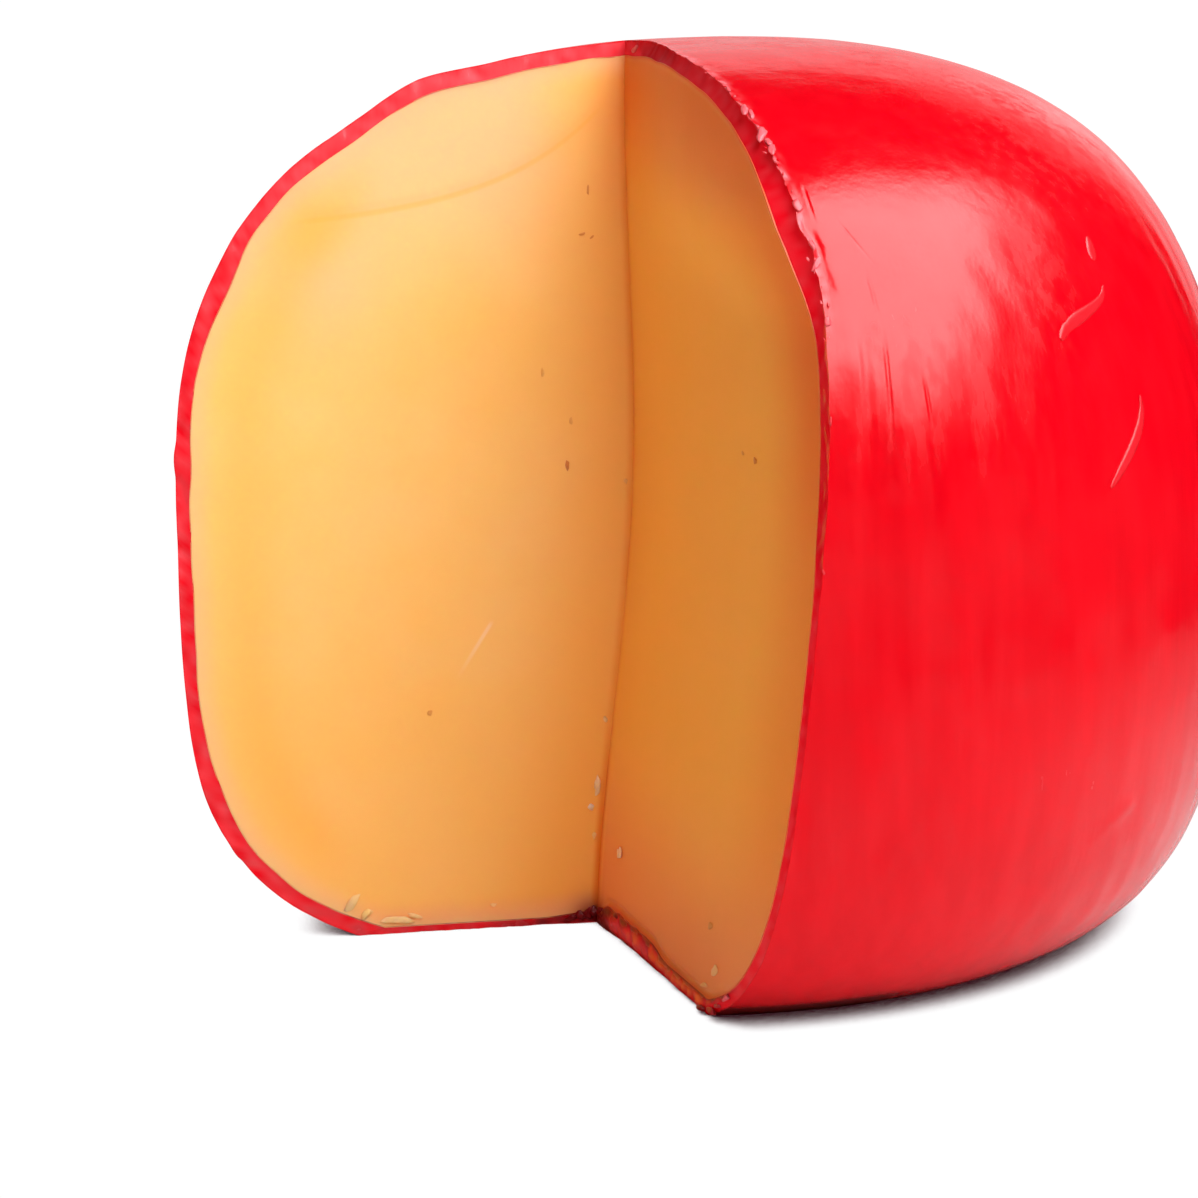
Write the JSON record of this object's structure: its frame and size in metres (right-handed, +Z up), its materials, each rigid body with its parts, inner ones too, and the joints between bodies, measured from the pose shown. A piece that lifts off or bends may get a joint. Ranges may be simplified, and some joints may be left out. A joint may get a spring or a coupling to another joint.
{
  "type": "cut ball of wax-coated cheese",
  "caption": "A flattened ball of semi-hard yellow cheese in a glossy red wax coat, with one wedge cut out from top to base, standing on its flat underside.",
  "frame": {"origin": "centre of the flat base, on the ball's axis, at the level of the surface it stands on", "axes": "+Z up along the ball's axis, which is its shortest extent; the cut-out opens towards -X and -Y, its crease a little to the -X side of the axis"},
  "size_m": [0.1443, 0.1453, 0.1194],
  "materials": {
    "cheese": "smooth knife-cut semi-hard paste, slightly translucent, satin, golden yellow and paler towards the coat",
    "wax": "poured red paraffin wax, glossy and faintly wavy, with fine scuffs and a matt broken edge at the cut"
  },
  "bodies": {
    "root": {"cheese": "cheese", "wax_coat": "wax"}
  },
  "joints": []
}
